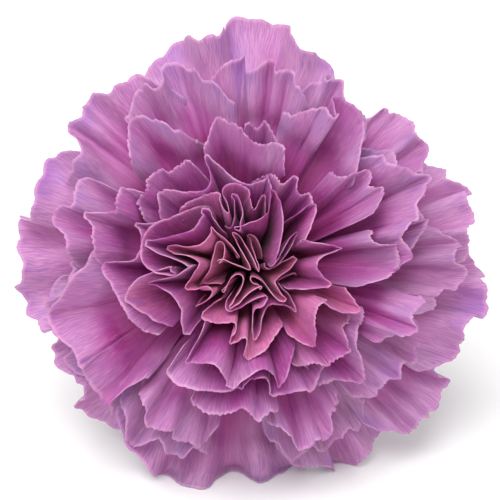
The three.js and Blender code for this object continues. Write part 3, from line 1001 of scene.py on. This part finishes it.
def green_finish(name, deep, fresh, wax, tip, tip_from, tip_to, roughness):
    """A waxy green; tip is the colour that it turns to between the heights tip_from and tip_to, in mm."""
    green = Finish(name)
    upright = green.node("ShaderNodeAttribute", {"attribute_name": "upright"}, out=1)
    x, y, height = (green.node("ShaderNodeSeparateXYZ", {}, {0: upright}, out=n) for n in range(3))
    ribs = green.noise(x * 2.2, y * 2.2, height * 0.06, 3.0)
    rubbed = green.noise(x * 0.35, y * 0.35, height * 0.22, 4.0)
    speckle = green.noise(x * 6, y * 6, height * 5, 2.0)
    ground = green.mix(green.between(ribs, 0.25, 0.7), deep, fresh)
    ground = green.mix(green.between(rubbed + (speckle - 0.5) * 0.2, 0.25, 0.75) * 0.55, ground, wax)
    ground = green.mix(green.between(height + (ribs - 0.5) * 2, tip_from, tip_to) * 0.8, ground, tip)
    ridges = {"Strength": 0.35, "Distance": 0.0002, "Height": ribs + speckle * 0.15}
    relief = green.node("ShaderNodeBump", {}, ridges)
    green.finish(Base_Color=ground, Roughness=rubbed * 0.15 + roughness, Normal=relief)
    green.finish(Subsurface_Weight=0.1, Subsurface_Radius=(0.5, 1.0, 0.3), Subsurface_Scale=0.001)
    return green.material


calyx_green = (colour(84, 114, 66), colour(112, 142, 86), colour(134, 158, 122), colour(186, 188, 132))
bract_green = (colour(104, 134, 82), colour(140, 164, 108), colour(166, 184, 152), colour(192, 178, 132))
calyx.data.materials.append(green_finish("calyx", *calyx_green, tooth_tip - 2.6, tooth_tip - 0.3, 0.45))
bract_material = green_finish("bract", *bract_green, 5.6, 9.0, 0.48)
for scale in scales:
    scale.data.materials.append(bract_material)
pistil_pale = (colour(196, 206, 160), colour(222, 226, 194), colour(236, 234, 216), colour(232, 214, 226))
pistil.data.materials.append(green_finish("pistil", *pistil_pale, 14.0, 26.0, 0.4))
print("green finishes on the calyx,", len(scales), "bracts and the pistil")

# %% [markdown]
# ### Stem and cut
# The stem has two finishes: its waxy skin, and the pale moist pith on the cut. The faces of the cut are
# found by their place and by the way they face, and get the second one.

# %% Stem finish
stem_green = (colour(96, 130, 84), colour(126, 158, 106), colour(160, 184, 158), colour(160, 182, 128))
pith_pale = (colour(176, 192, 132), colour(206, 214, 168), colour(222, 224, 190), colour(206, 214, 168))
stem.data.materials.append(green_finish("stem", *stem_green, -1.2, 0.4, 0.42))
stem.data.materials.append(green_finish("cut_stem", *pith_pale, 0.0, 1.0, 0.55))
NEAR_CUT = 0.004  # metres
cut_way = Vector((cut_normal @ turn).tolist())
cut_place = Vector(to_common(cut_middle).tolist())
for face in stem.data.polygons:
    near = (Vector(face.center) - cut_place).length < NEAR_CUT
    if near and face.normal.dot(cut_way) < -0.8:
        face.material_index = 1
print("faces on the cut:", sum(face.material_index for face in stem.data.polygons))

# %% [markdown]
# ## Floor, light and camera
# A pale floor, a bright even room and one large soft light from above the face. The light stands well in
# front, so that the folds shade each other and the deep ones stay dark. The camera looks straight into
# the face along the flower's axis, from far enough that the petals don't bulge towards it.

# %% Floor and light
bpy.ops.mesh.primitive_plane_add(size=6)
floor = bpy.context.object
floor.name = "floor"
pale = Finish("floor")
pale.finish(Base_Color=(0.9, 0.9, 0.9, 1))
floor.data.materials.append(pale.material)

world = bpy.data.worlds.new("studio")
bpy.context.scene.world = world
world.use_nodes = True
room = world.node_tree.nodes["Background"]
room.inputs["Color"].default_value = (1, 1, 1, 1)
room.inputs["Strength"].default_value = 0.8

key = bpy.data.lights.new("key", "AREA")
key.size = 0.7
key.energy = 7
lamp = bpy.data.objects.new("key", key)
lamp.location = (-0.15, -0.35, 0.75)
lamp.rotation_euler = (Vector((0, -0.01, 0.03)) - lamp.location).to_track_quat("-Z", "Y").to_euler()
bpy.context.scene.collection.objects.link(lamp)
print("key light of", key.energy, "W")

# %% Camera
DISTANCE = 0.40  # metres from the flower
VIEW_WIDTH = 0.0862  # metres that the view is wide, at the flower
camera = bpy.data.cameras.new("camera")
camera.sensor_width = 36
camera.lens = camera.sensor_width * DISTANCE / VIEW_WIDTH
eye = bpy.data.objects.new("camera", camera)
aim = to_common(np.array([0.7, 3.0, 31.0]))
looking = Matrix(np.stack([right, up_face, axis], 1).tolist()).to_4x4()
eye.matrix_world = Matrix.Translation(aim + axis * DISTANCE) @ looking
bpy.context.scene.collection.objects.link(eye)
bpy.context.scene.camera = eye
bpy.context.scene.view_settings.view_transform = "Standard"
print("camera", round(camera.lens), "mm, at", np.round(aim + axis * DISTANCE, 3))
